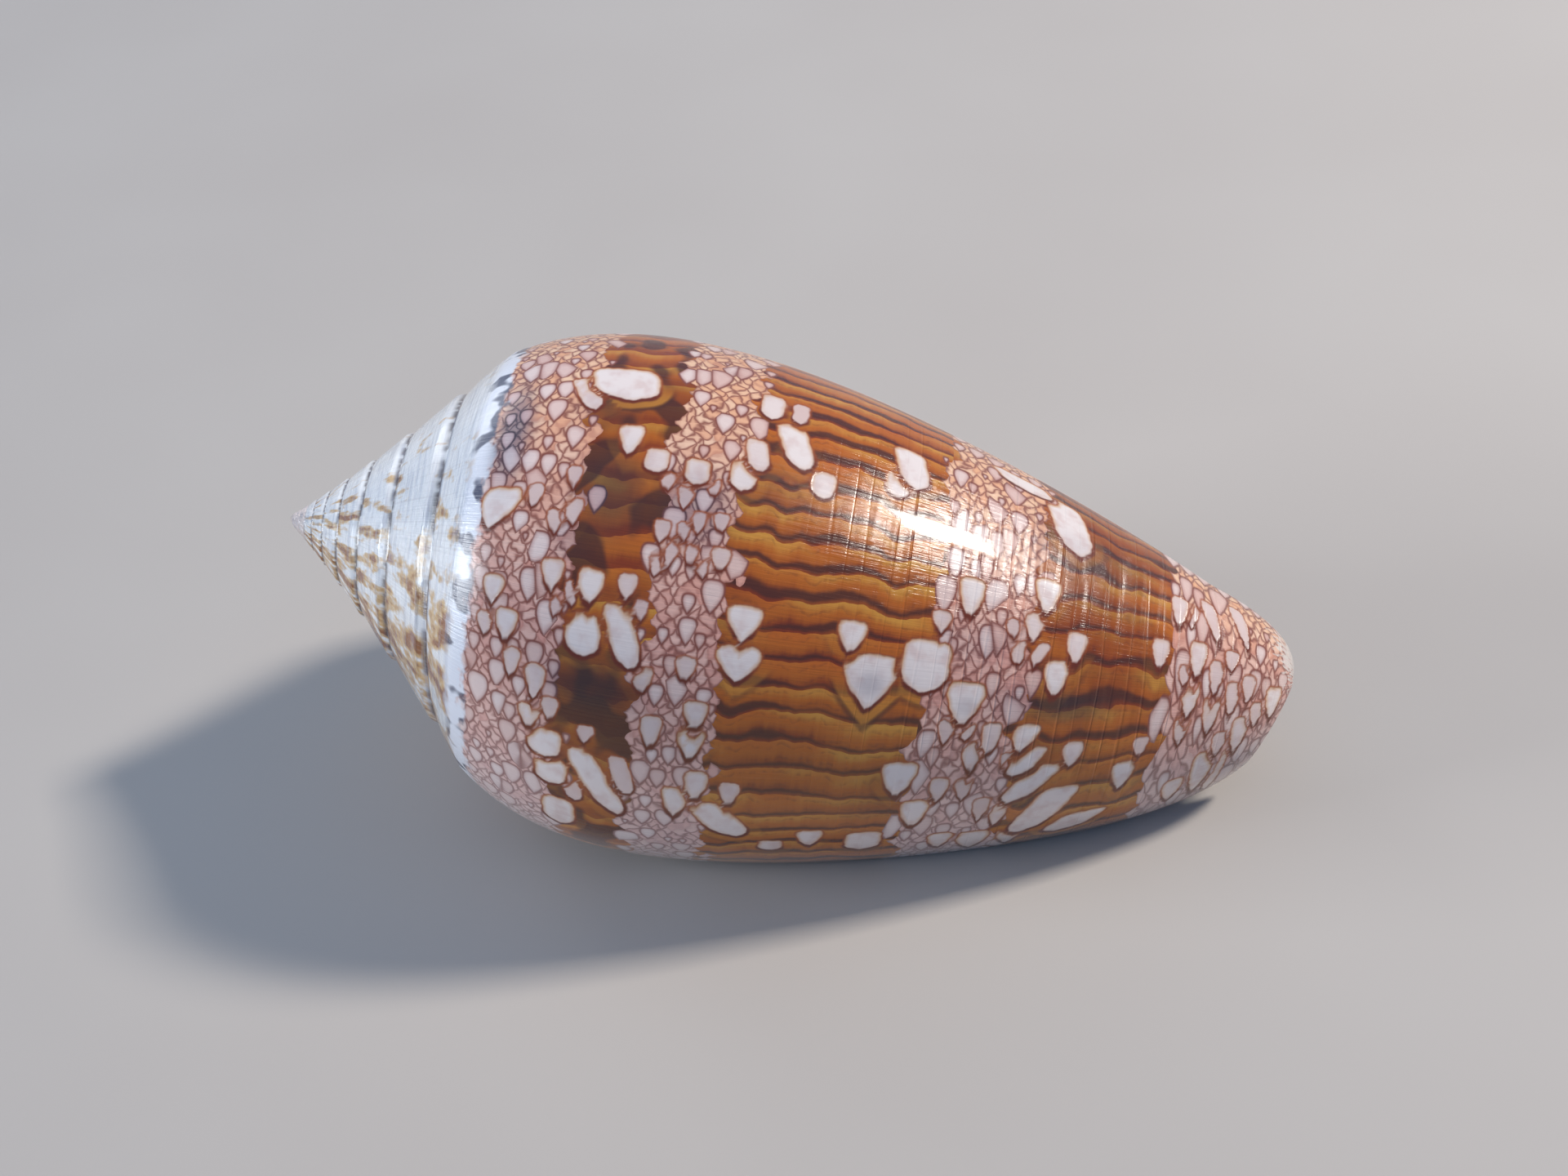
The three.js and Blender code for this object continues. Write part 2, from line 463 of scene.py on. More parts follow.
shell_mesh = bpy.data.meshes.new("shell_skin")
shell_bm.to_mesh(shell_mesh)
shell_mesh.shade_smooth()
shell = bpy.data.objects.new("shell_skin", shell_mesh)
bpy.context.scene.collection.objects.link(shell)
print("size in mm", (spread.max(0) - spread.min(0)).round(5) / MM, "CAD", tuple((high - low) / MM))

# %% [markdown]
# ## Camera
#
# The photograph looks down on the shell from its right-hand side, with the apex to the left. The
# angles below were found by matching the outline of the growth laws to the outline in the picture.
# The camera is rolled a little, as a hand-held one is. It comes before the markings, because the
# largest of them are placed by looking through it.

# %% Camera
IMAGE_WIDTH = 1920
IMAGE_HEIGHT = 1440
LENS_MM = 50.0
SENSOR_MM = 36.0
AZIMUTH = math.radians(11.2)
ELEVATION = math.radians(41.0)
CAMERA_ROLL = math.radians(6.4)
DISTANCE = 147.4 * MM
TARGET = Vector((0.0, 0.0, 15.0)) * MM
NEAREST_SEEN = 0.01

level = math.cos(ELEVATION)
look = Vector((-math.sin(AZIMUTH) * level, math.cos(AZIMUTH) * level, -math.sin(ELEVATION)))
flat_right = Vector((math.cos(AZIMUTH), math.sin(AZIMUTH), 0.0))
flat_up = flat_right.cross(look)
right = flat_right * math.cos(CAMERA_ROLL) - flat_up * math.sin(CAMERA_ROLL)
up = flat_right * math.sin(CAMERA_ROLL) + flat_up * math.cos(CAMERA_ROLL)
eye = TARGET - look * DISTANCE

camera = bpy.data.objects.new("camera", bpy.data.cameras.new("camera"))
camera.data.lens = LENS_MM
camera.data.sensor_width = SENSOR_MM
camera.data.clip_start = NEAREST_SEEN
camera.matrix_world = Matrix.Translation(eye) @ Matrix((right, up, -look)).transposed().to_4x4()
bpy.context.scene.collection.objects.link(camera)
bpy.context.scene.camera = camera
print("camera at", tuple(round(v / MM, 1) for v in eye), "mm")

# %% [markdown]
# ## From picture to shell
#
# To put a mark where the photograph shows it, a ray goes from the camera through a pixel and onto
# the skin. The place where it lands is turned back into the shell's own directions, so the mark is
# drawn on the surface itself and stays there from every side.

# %% From picture to shell
FOCAL = LENS_MM / SENSOR_MM * IMAGE_WIDTH
RAMP_STRETCH = 1.6
skin_tree = BVHTree.FromBMesh(shell_bm)


def spot(x, y):
    """Length along the shell, turn and distance round it at a pixel, or None beside the shell."""
    sight = look + right * ((x - IMAGE_WIDTH / 2) / FOCAL) + up * ((IMAGE_HEIGHT / 2 - y) / FOCAL)
    hit = skin_tree.ray_cast(eye, sight)[0]
    if hit is None:
        return None
    reach, side, height = to_shell @ hit
    turn = math.atan2(side, height) / (2.0 * math.pi) % 1.0
    start = shoulder_reach(turn)
    down = (reach - start) / (LENGTH - start)
    along = np.interp(down, DOWN_STEPS, ALONG_STEPS) if down > 0 else (reach - start) * RAMP_STRETCH
    return np.array([along, turn, 2.0 * math.pi * math.hypot(side, height)])


BAND_ROW = 720
BAND_PIXELS = ((692, 795), (897, 1150), (1272, 1440))
bands = [[float(spot(x, BAND_ROW)[0]) for x in edges] for edges in BAND_PIXELS]
print("brown bands along the shell, mm", [[round(edge, 1) for edge in band] for band in bands])

# %% [markdown]
# ## Large tents
#
# The snail leaves white "tents" where its colour glands were switched off for a while: flat on the
# older side and drawn to a point in the direction of growth. The large ones give this shell its
# face, so each is read from the photograph as a middle, a width and a height in pixels, and a
# lean if it has one. Some were cut short and are blunt slabs instead.

# %% Large tents
TENTS = [
    (774, 531, 33, 37), (912, 755, 46, 46), (905, 805, 58, 46), (1044, 772, 38, 42),
    (1067, 822, 70, 70), (1183, 852, 48, 55), (1191, 722, 33, 50), (677, 696, 28, 42),
    (724, 710, 34, 47), (769, 712, 26, 34), (703, 620, 22, 35), (786, 826, 28, 34),
    (840, 814, 25, 34), (797, 890, 26, 42), (846, 904, 35, 40), (852, 870, 30, 37),
    (852, 956, 30, 38), (826, 976, 34, 38), (893, 968, 26, 30), (991, 1023, 34, 20),
    (1101, 947, 45, 44), (1119, 991, 36, 34), (1284, 722, 33, 44), (1319, 787, 26, 42),
    (1294, 823, 32, 47), (1422, 794, 22, 38), (1268, 762, 25, 34), (1314, 918, 26, 32),
    (1397, 910, 18, 24), (1375, 943, 28, 34), (1191, 921, 25, 40), (1223, 988, 25, 37),
    (1445, 742, 20, 36), (1468, 800, 22, 46), (1490, 822, 18, 42), (1458, 848, 22, 46),
    (1483, 868, 20, 46), (1510, 848, 18, 42), (1447, 888, 18, 36), (1518, 892, 20, 42),
    (1472, 938, 25, 46), (1488, 938, 20, 42), (1560, 853, 18, 36), (1435, 963, 22, 24),
    (655, 826, 25, 44), (626, 804, 22, 38), (647, 871, 27, 30), (673, 863, 22, 30),
    (716, 895, 22, 22), (612, 612, 48, 52, -18), (604, 714, 27, 37), (620, 757, 28, 42),
    (594, 757, 20, 30), (701, 721, 19, 36), (680, 633, 20, 30), (656, 601, 19, 30),
    (704, 579, 17, 30), (818, 585, 20, 26), (811, 645, 22, 28), (838, 647, 18, 24),
    (805, 687, 20, 30), (822, 672, 16, 34), (847, 673, 18, 32), (883, 680, 24, 32),
    (884, 636, 20, 24), (857, 635, 17, 26), (861, 692, 17, 26), (875, 593, 16, 24),
    (840, 604, 20, 28), (786, 743, 17, 28), (681, 737, 17, 30), (1154, 756, 24, 28),
    (1242, 766, 18, 24), (1248, 794, 22, 32), (1273, 796, 22, 32, -8), (1159, 891, 20, 32),
    (1214, 898, 24, 42), (1183, 892, 22, 22), (1256, 898, 32, 36, -8), (1530, 838, 16, 34),
    (1509, 805, 17, 26), (1460, 749, 16, 28), (1484, 753, 18, 42, 16), (1519, 760, 17, 36, 14),
    (1493, 906, 17, 28), (1539, 869, 16, 28), (1451, 823, 15, 26), (1235, 930, 20, 26),
    (1150, 962, 24, 30), (1180, 962, 20, 28), (1201, 986, 20, 28), (1150, 1026, 30, 18),
    (1190, 1025, 40, 20), (1235, 1020, 30, 18),
]
SLABS = [
    (769, 462, 83, 35, 8), (721, 474, 28, 36, 16), (805, 558, 30, 30), (855, 572, 31, 32),
    (912, 576, 34, 36), (929, 550, 29, 38, 8), (975, 536, 40, 50, 18), (948, 493, 30, 28),
    (982, 503, 20, 24), (1010, 588, 31, 32), (1118, 565, 40, 42, 10), (1102, 588, 32, 30),
    (1136, 803, 60, 66), (715, 767, 45, 54), (762, 765, 36, 80, 28), (666, 902, 42, 36),
    (674, 937, 40, 33), (683, 987, 38, 32), (700, 959, 22, 30, 4), (726, 945, 38, 76, 40),
    (760, 942, 24, 46, 12), (877, 997, 52, 42, 26), (943, 1033, 30, 12), (1057, 1026, 45, 22),
    (1253, 590, 70, 30, 20), (1309, 633, 45, 42, 12), (1259, 926, 33, 35, -20),
    (1266, 951, 40, 44, -34), (1281, 983, 48, 52, -26), (1317, 1001, 52, 46, -34),
]
print("read from the photograph:", len(TENTS), "tents and", len(SLABS), "slabs")

# %% [markdown]
# ## Tents on the shell
#
# Rays through the edges of a tent give its half width and half height on the skin, and where a ray
# misses, the scale of the picture does. On the side that the camera can't see, the same tents come
# again about half a turn further on, moved a little at random. A copy that would lie over another
# tent is moved again, and is left out after a few tries.

# %% Tents on the shell
PIXELS_PER_MM = 17.8
TENT_POINT = 0.12
SLAB_POINT = 0.72
FAR_SIDE_SHIFT = 0.47
FAR_SIDE_LOOSENESS = 0.03
FAR_SIDE_SLIDE = 1.2
LAST_TURN = 0.99
CLEARANCE = 1.06
TRIES = 8
chance = random.Random(7)


def extent(before, after, middle):
    """Half the way between two spots, as lengths along and round the shell, or None."""
    if before is None or after is None:
        return None
    gap = (after - before) / 2
    return abs(gap[0]), abs((gap[1] + 0.5) % 1.0 - 0.5) * middle[2]


def tent_on_shell(point_start, x, y, width, height, lean=0):
    """Length along, turn and girth at its middle, half width, half height, lean and point."""
    middle = spot(x, y)
    across = extent(spot(x - width / 2, y), spot(x + width / 2, y), middle)
    tall = extent(spot(x, y - height / 2), spot(x, y + height / 2), middle)
    half_width = across[0] if across else width / PIXELS_PER_MM / 2
    half_height = tall[1] if tall else height / PIXELS_PER_MM / 2
    return (*middle, half_width, half_height, lean / height, point_start)


def overlap(tent, other):
    """Whether the rectangles round two tents come closer than the clearance."""
    along, turn, girth, half_width, half_height = tent[:5]
    other_along, other_turn, _, other_width, other_height = other[:5]
    beside = abs(along - other_along) / (half_width + other_width)
    after = abs(turn - other_turn) * girth / (half_height + other_height)
    return max(beside, after) < CLEARANCE


tents = [tent_on_shell(TENT_POINT, *tent) for tent in TENTS]
tents += [tent_on_shell(SLAB_POINT, *slab) for slab in SLABS]
for along, turn, girth, half_width, half_height, lean, point_start in list(tents):
    for _ in range(TRIES):
        far_turn = turn + FAR_SIDE_SHIFT + chance.gauss(0.0, FAR_SIDE_LOOSENESS)
        slid = along + chance.gauss(0.0, FAR_SIDE_SLIDE)
        copy = (slid, far_turn, girth, half_width, half_height, -lean, point_start)
        if far_turn < LAST_TURN and not any(overlap(copy, other) for other in tents):
            tents.append(copy)
            break
print("tents on both sides", len(tents))

# %% [markdown]
# ## Outline of a tent
#
# One formula draws every tent: square on the older side, pointed on the newer, with corners that are
# a little round. It works on distances from the middle of the tent, in millimetres across it and in
# the direction of growth. Dividing it by its own slope gives the distance to the outline.

# %% Outline of a tent
TOP_SHARE = 0.4
CORNER_SHARPNESS = 4.5
GRADIENT_STEP = 0.02
LEAST_SLOPE = 1e-6


def tent_gauge(across, growth, half_width, half_height, lean, point_start):
    """1 on the outline of a tent, less inside."""
    side = np.abs(across - lean * growth) / half_width
    old = np.maximum(-growth, 0.0) / (2 * half_height * TOP_SHARE)
    new = growth / (2 * half_height * (1.0 - TOP_SHARE))
    slant = np.maximum(side * (1.0 - point_start) + new, 0.0)
    powers = side**CORNER_SHARPNESS + old**CORNER_SHARPNESS + slant**CORNER_SHARPNESS
    return powers ** (1.0 / CORNER_SHARPNESS)


def outline_distance(across, growth, *shape):
    """Distance to the outline of a tent, below zero inside."""
    gauge = tent_gauge(across, growth, *shape)
    slope_across = tent_gauge(across + GRADIENT_STEP, growth, *shape) - gauge
    slope_growth = tent_gauge(across, growth + GRADIENT_STEP, *shape) - gauge
    slope = np.maximum(np.hypot(slope_across, slope_growth), LEAST_SLOPE)
    return (gauge - 1.0) * GRADIENT_STEP / slope


past_side = outline_distance(2.0, 0.0, 1.0, 1.0, 0.0, TENT_POINT)
print("1 mm past the side of a tent the formula says", past_side.round(2), "mm")

# %% [markdown]
# ## Tents on the corners
#
# Each corner of a face gets the distance to the edge of the nearest tent. A distance blends evenly
# over a face, so a shader can cut a sharp edge out of it at any size, which a stored colour could
# not do. Three more numbers go with it: whether the corner is on the growing side of a tent, where
# the dark outline is thicker, how wide that tent is, and how far the dark lines below it are pushed
# on by it.

# %% Tents on the corners
FAR_AWAY = 9.0
REACH_AROUND = 3.0
KEEP_APART = 0.46
PUSH = 0.9
PUSH_FADE = 2.2


def read_marks(name):
    values = np.zeros(len(shell_mesh.loops), np.float32)
    shell_mesh.attributes[name].data.foreach_get("value", values)
    return values


def write_marks(name, values):
    marks = shell_mesh.attributes.new(name, "FLOAT", "CORNER")
    marks.data.foreach_set("value", values.astype(np.float32))


along_at, turn_at = read_marks("along"), read_marks("turn")
tent_gap = np.full(len(along_at), FAR_AWAY)
under_tent = np.zeros(len(along_at))
tent_half = np.zeros(len(along_at))
line_push = np.zeros(len(along_at))
for along, turn, girth, half_width, half_height, *form in sorted(tents, key=lambda tent: -tent[1]):
    across = along_at - along
    growth = (turn - turn_at) * girth + half_height * (2.0 * TOP_SHARE - 1.0)
    tail = np.maximum(growth, 0.0) / (PUSH_FADE * half_height)
    line_push += PUSH * half_height * tail * np.exp(-((across / half_width) ** 2) - tail)
    beside = np.abs(across) < half_width + REACH_AROUND
    before = np.abs(growth) < 2 * half_height + REACH_AROUND
    near = np.flatnonzero(beside & before)
    gap = outline_distance(across[near], growth[near], half_width, half_height, *form)
    gap = np.maximum(gap, KEEP_APART - tent_gap[near])
    closer = gap < tent_gap[near]
    nearest_to = near[closer]
    tent_gap[nearest_to] = gap[closer]
    under_tent[nearest_to] = smooth(growth[nearest_to] / half_height)
    tent_half[nearest_to] = half_width
write_marks("tent", tent_gap)
write_marks("under", under_tent)
write_marks("tent_half", tent_half)
write_marks("push", line_push)
print("share of the corners inside tents", round(float((tent_gap < 0).mean()), 3))

# %% [markdown]
# ## Smoky patches
#
# In a few places the enamel is clouded from below, slate over the net and nearly black in the bands.
# They are soft, so one number on each corner is enough. Each is read from the photograph as a
# middle, a half width, a half height and a strength, and they have copies on the far side as well.

# %% Smoky patches
PATCHES = [
    (848, 622, 52, 50, 0.75), (750, 600, 44, 56, 0.9), (722, 842, 56, 30, 0.9),
    (1305, 866, 56, 20, 0.9), (1340, 690, 80, 30, 0.55), (628, 530, 22, 60, 1.0),
    (1250, 862, 40, 26, 0.4), (1200, 790, 50, 26, 0.25), (745, 500, 40, 22, 0.35),
    (950, 600, 46, 30, 0.3), (700, 660, 30, 30, 0.4), (1500, 940, 50, 20, 0.4),
    (1066, 838, 17, 15, 0.9), (1184, 866, 14, 13, 0.6),
]
PATCH_FALL = 3.0
CLOUDED = 0.2

smoke_at = np.zeros(len(along_at))
for x, y, wide, tall, strength in PATCHES:
    patch = tent_on_shell(SLAB_POINT, x, y, 2 * wide, 2 * tall)
    along, turn, girth, half_width, half_height = patch[:5]
    for middle in (turn, turn + FAR_SIDE_SHIFT):
        across = (along_at - along) / half_width
        growth = (turn_at - middle) * girth / half_height
        density = np.exp(-(np.hypot(across, growth) ** PATCH_FALL))
        smoke_at = np.maximum(smoke_at, strength * density)
write_marks("smoke", smoke_at)
print("share of the corners clouded", round(float((smoke_at > CLOUDED).mean()), 3))

# %% [markdown]
# ## Material maths
#
# The finish is a formula that a shader works out at every point. Nodes are its words, and a long
# formula is hard to read as dozens of `nodes.new` lines. A small class wraps the output of a node,
# so that sums and products can be written as plain Python and each adds its Math node. Any other
# node comes from one method, which takes its settings first and then its sockets.

# %% Material maths
class Wire:
    """One output of one shader node. Arithmetic on wires adds Math nodes to the same material."""

    def __init__(self, socket):
        self.socket = socket

    def node(self, kind, settings, sockets, output=0):
        """Adds a node with these settings, and these values or wires on its sockets."""
        made = self.socket.id_data.nodes.new(kind)
        for name, value in settings.items():
            setattr(made, name, value)
        for name, value in sockets.items():
            if isinstance(value, Wire):
                self.socket.id_data.links.new(value.socket, made.inputs[name])
            else:
                made.inputs[name].default_value = value
        return Wire(made.outputs[output])

    def beside(self, output):
        """Another output of the same node."""
        return Wire(self.socket.node.outputs[output])

    def math(self, operation, *values):
        return self.node("ShaderNodeMath", {"operation": operation}, dict(enumerate(values)))

    def __add__(self, other):
        return self.math("ADD", self, other)

    __radd__ = __add__

    def __sub__(self, other):
        return self.math("SUBTRACT", self, other)

    def __rsub__(self, other):
        return self.math("SUBTRACT", other, self)

    def __mul__(self, other):
        return self.math("MULTIPLY", self, other)

    __rmul__ = __mul__

    def __truediv__(self, other):
        return self.math("DIVIDE", self, other)

    def __rtruediv__(self, other):
        return self.math("DIVIDE", other, self)

    def __pow__(self, other):
        return self.math("POWER", self, other)

    def __abs__(self):
        return self.math("ABSOLUTE", self)

    def floor(self):
        return self.math("FLOOR", self)

    def rise(self, low, high):
        """0 below low and 1 above high, with an even S between. High may be under low."""
        sockets = {"Value": self, "From Min": low, "From Max": high}
        return self.node("ShaderNodeMapRange", {"interpolation_type": "SMOOTHSTEP"}, sockets)

    def mix(self, first, second):
        """The first colour where this wire is 0, and the second where it is 1."""
        return self.node("ShaderNodeMix", {"data_type": "RGBA"}, {0: self, 6: first, 7: second}, 2)

    def cloud(self, scale, detail=2.0, roughness=0.5):
        """Soft random patches in 0 to 1 over a vector, scale of them in each of its units."""
        sockets = {"Vector": self, "Scale": scale, "Detail": detail, "Roughness": roughness}
        return self.node("ShaderNodeTexNoise", {"noise_dimensions": "2D"}, sockets)

    def vector(self, x, y):
        return self.node("ShaderNodeCombineXYZ", {}, {0: x, 1: y})


def paint(red, green, blue):
    """A screen colour of 0 to 255 as the linear one that shaders use."""
    screen = Color((red / 255, green / 255, blue / 255))
    return (*screen.from_srgb_to_scene_linear(), 1.0)


def new_material(name):
    """A material, its main shader node, and a wire that carries Object coordinates."""
    material = bpy.data.materials.new(name)
    material.use_nodes = True
    main = material.node_tree.nodes["Principled BSDF"]
    coordinates = material.node_tree.nodes.new("ShaderNodeTexCoord")
    return material, main, Wire(coordinates.outputs["Object"])


finish, surface, here = new_material("patterned_shell")


def mark(name):
    return here.node("ShaderNodeAttribute", {"attribute_name": name}, {}, "Fac")


along, turn, girth = mark("along"), mark("turn"), mark("girth")
ramp, inside = mark("ramp"), mark("inside")
tent, under, push = mark("tent"), mark("under"), mark("push")
tent_half, smoke = mark("tent_half"), mark("smoke")
print("marks read", sum(node.type == "ATTRIBUTE" for node in finish.node_tree.nodes))

# %% [markdown]
# ## Unrolled in rings
#
# Between the bands the skin is a net of pale scales, with thin red-brown lines between them. A net
# needs flat coordinates, and the shell can't be flattened in one piece without stretching it. So it
# is unrolled in four rings, each with its own girth, which change in the middle of the bands, where
# no net shows. Whole scales belong to a band or not, and a helper answers that for a scale's place.

# %% Unrolled in rings
RING_GIRTHS = (104.0, 108.0, 74.0, 42.0)
FRONT_STRETCH = 1.35

ring_girth = RING_GIRTHS[0]
for (band_start, band_end), before, after in zip(bands, RING_GIRTHS, RING_GIRTHS[1:]):
    band_middle = (band_start + band_end) / 2
    ring_girth = ring_girth + here.math("GREATER_THAN", along, band_middle) * (after - before)
in_front = along.rise(*bands[2])
unrolled = turn * ring_girth / (1.0 + in_front * (FRONT_STRETCH - 1.0))


def band_share(place):
    """1 where a scale at this place belongs to one of the brown bands."""
    share = 0.0
    for band_start, band_end in bands:
        entered = here.math("GREATER_THAN", place, band_start)
        share = share + entered * here.math("LESS_THAN", place, band_end)
    return share


print("nodes for the rings", len(finish.node_tree.nodes))

# %% [markdown]
# ## Large scales of the net
#
# The large scales are little tents, with their places and sizes from a Voronoi texture. Its nearest
# point is the middle of a scale, the colour of its cell gives random numbers for that scale, and the
# second nearest point tells how close the next scale is.

# %% Large scales of the net
SCALE_SIZE = (1.45, 2.0)
SCALE_SEED = 40.0
RANDOMNESS = 0.85
SMALLEST_SCALE = 0.1
LARGEST_SCALE = 0.85
SCALE_SLANT = 0.7
SCALE_POINT = 1.7
ROUNDING = 3.0
LINE_HALF = 0.06
SCALE_OUTLINE = 0.15
LINE_SOFTNESS = 0.085
STRAY = 2.2

flat = here.vector(along / SCALE_SIZE[0] + SCALE_SEED, unrolled / SCALE_SIZE[1])
voronoi = {"Vector": flat, "Scale": 1.0, "Randomness": RANDOMNESS}
nearest = here.node("ShaderNodeTexVoronoi", {"voronoi_dimensions": "2D"}, voronoi)
second = here.node("ShaderNodeTexVoronoi", {"voronoi_dimensions": "2D", "feature": "F2"}, voronoi)
edge = (second - nearest) * (SCALE_SIZE[0] / 2)
middle = here.node("ShaderNodeSeparateXYZ", {}, {0: nearest.beside("Position")})
luck = here.node("ShaderNodeSeparateColor", {}, {0: nearest.beside("Color")})
scale_along = (middle - SCALE_SEED) * SCALE_SIZE[0]
half_scale = SMALLEST_SCALE + (LARGEST_SCALE - SMALLEST_SCALE) * luck.beside(1)
growth = (middle.beside(1) * SCALE_SIZE[1] - unrolled) / half_scale
side = abs(along - scale_along) / half_scale
older = here.math("MAXIMUM", 0.0 - growth, 0.0)
slant = side * SCALE_SLANT + here.math("MAXIMUM", growth, 0.0) / SCALE_POINT
gauge = (side**ROUNDING + older**ROUNDING + slant**ROUNDING) ** (1.0 / ROUNDING)
scale_gap = here.math("MAXIMUM", (gauge - 1.0) * half_scale, LINE_HALF - edge)
scale_on = 1.0 - band_share(scale_along + (luck - 0.5) * STRAY)
scale_white = scale_gap.rise(LINE_SOFTNESS, -LINE_SOFTNESS) * scale_on
scale_line = (scale_gap - SCALE_OUTLINE).rise(LINE_SOFTNESS, -LINE_SOFTNESS) * scale_on
print("nodes for the large scales", len(finish.node_tree.nodes))

# %% [markdown]
# ## Small scales of the net
#
# The small scales fill the gaps and lie in rows like those of a fish. The points of each row reach
# over the next newer row, and every second row is moved on by half a scale. Noise bends the rows and
# changes the sizes, until they look grown. A formula is enough for this: it asks whether a place is
# still under a point of the older row, or already on its own row.

# %% Small scales of the net
SMALL_WIDTH = 0.92
ROW_HEIGHT = 0.58
ROW_SEED = 33.0
POINT_POWER = 1.7
BEND = 1.7
BENDS_PER_MM = 0.6
RUN_TOGETHER = 0.12
SMALL_LINE = 0.07
SMALL_STRAY = 0.9

column = along / SMALL_WIDTH + here.vector(along, unrolled).cloud(BENDS_PER_MM) * BEND
row_bend = here.vector(along + ROW_SEED, unrolled).cloud(BENDS_PER_MM) * BEND
row = row_bend - unrolled / ROW_HEIGHT
own_row = row.floor()
own_column = column + own_row * 0.5
older_column = own_column - 0.5
off_middle = abs(older_column - older_column.floor() - 0.5) * 2.0
past_point = row - own_row - (1.0 - off_middle**POINT_POWER)
point_slope = off_middle ** (POINT_POWER - 1.0) * (2.0 * POINT_POWER / SMALL_WIDTH)
small_gap = abs(past_point) / (point_slope * point_slope + ROW_HEIGHT**-2) ** 0.5


def cell_luck(cell_column, cell_row):
    """A number of 0 to 1 that is the same all over one scale."""
    cell = here.vector(cell_column, cell_row)
    return here.node("ShaderNodeTexWhiteNoise", {"noise_dimensions": "2D"}, {"Vector": cell})


older_luck = cell_luck(older_column.floor(), own_row - 1.0)
outlined_point = here.math("GREATER_THAN", older_luck, RUN_TOGETHER)
under_point = here.math("LESS_THAN", past_point, 0.0)
small_row = own_row - under_point
small_column = (column + small_row * 0.5).floor()
small_luck = cell_luck(small_column, small_row)
small_middle = (small_column - small_row * 0.5 + (1.0 - BEND) / 2) * SMALL_WIDTH
in_band = band_share(small_middle + (small_luck - 0.5) * SMALL_STRAY)
small_line = small_gap.rise(SMALL_LINE + LINE_SOFTNESS, SMALL_LINE - LINE_SOFTNESS) * outlined_point
print("nodes with the small scales", len(finish.node_tree.nodes))

# %% [markdown]
# ## Net in colour
#
# The scales are pink on the side of the lip and peach on the upper side, a painted tint of the warm
# light that falls there. Close to the lip they are paler, partly the paler new shell and partly
# painted bounce light from the floor.
# Where the enamel is smoky, the lines turn to slate and the scales keep most of their white. Colours
# are laid one over the other like thin washes, each with a mask and a strength.

# %% Net in colour
UPPER_SIDE_FROM = (0.2, 0.4)
UPPER_SIDE_TO = (0.9, 0.6)
LIP_PALE = 0.2
LIP_PALENESS = 0.5
SHADE_REACH = 0.3


def wash(base, colour, mask, strength):
    """The base with a colour over it, as strong as this where the mask is 1."""
    return (mask * strength).mix(base, colour)


# Painted light: the upper side is tinted peach for the warm light that falls on it.
warm = turn.rise(*UPPER_SIDE_FROM) * turn.rise(*UPPER_SIDE_TO)
# Painted light: near the lip the colours pale, partly paler new shell and partly painted bounce light
# from the floor.
lip_pale_and_bounce = turn.rise(LIP_PALE, 0.0) * LIP_PALENESS
pale = paint(226, 218, 218)
shade = paint(176, 108, 92)
pink = small_luck.mix(paint(218, 156, 140), paint(234, 190, 174))
peach = small_luck.mix(paint(234, 172, 128), paint(242, 200, 164))
small_colour = wash(warm.mix(pink, peach), shade, small_gap.rise(SHADE_REACH, 0.0), strength=0.45)
small_colour = lip_pale_and_bounce.mix(small_colour, pale)
small_colour = wash(small_colour, paint(104, 102, 118), smoke, strength=0.75)
scale_colour = luck.mix(paint(220, 178, 164), paint(232, 210, 202))
scale_colour = wash(scale_colour, shade, scale_gap.rise(-SHADE_REACH, 0.0), strength=0.4)
scale_colour = lip_pale_and_bounce.mix(scale_colour, pale)
scale_colour = wash(scale_colour, paint(130, 132, 154), smoke, strength=0.45)
line_colour = wash(paint(134, 74, 60), pale, lip_pale_and_bounce, strength=0.5)
line_colour = wash(line_colour, paint(56, 50, 62), smoke, strength=0.95)
small_colour = wash(small_colour, line_colour, small_line, strength=0.85)
print("nodes with the net", len(finish.node_tree.nodes))

# %% [markdown]
# ## Rests in the growth
#
# Three broad bands run round the shell. In them the colour glands were on, and they wrote a dark
# line along the lip at each rest in the growth. The turn times the number of lines gives the place
# between two lines, after some noise and the push of the tents. A helper makes noise that is drawn
# out along the shell or round it, with a rate for each direction. The later steps use it too.

# %% Rests in the growth
LINES_PER_TURN = 55.0
FRONT_LINES_PER_TURN = 33.0
ROUND_MM = 90.0
WAVE = 1.1
FINE_WAVE = 0.34
LINE_LUCK_RATES = (0.14, 3.7)
LINE_LUCK_SEED = 60.0
UNEVEN = 0.4

grown = turn * ROUND_MM


def grain(along_rate, growth_rate, seed, detail=2.0, roughness=0.5):
    """Noise of 0 to 1, with so many patches to a millimetre along the shell and of its growth."""
    place = here.vector(along * along_rate + seed, grown * growth_rate)
    return place.cloud(1.0, detail, roughness)


front_band = here.math("GREATER_THAN", along, bands[1][1])
lines = LINES_PER_TURN + (FRONT_LINES_PER_TURN - LINES_PER_TURN) * front_band
wave = grain(0.11, 0.16, seed=0.0)
fine_wave = grain(0.6, 0.3, seed=50.0)
phase = (turn + push / girth) * lines + wave * WAVE + fine_wave * FINE_WAVE
since_rest = 1.0 - (phase - phase.floor())
line_place = phase.floor() * LINE_LUCK_RATES[1]
line_luck = here.vector(along * LINE_LUCK_RATES[0] + LINE_LUCK_SEED, line_place).cloud(1.0)
uneven = (line_luck - 0.5) * UNEVEN
print("nodes with the rests", len(finish.node_tree.nodes))

# %% [markdown]
# ## Brown bands
#
# After a rest the colour starts as gold, deepens to red-brown and ends in the next dark line. Slow
# noise makes some stretches deeper and some lines thicker, and a faint line runs between two dark
# ones. The first band has soft dark blotches in place of lines.

# %% Brown bands
STREAKS = 0.25
THICKENING = 0.2
FAINTNESS = 0.3
BLOTCH_STRAY = 2.5

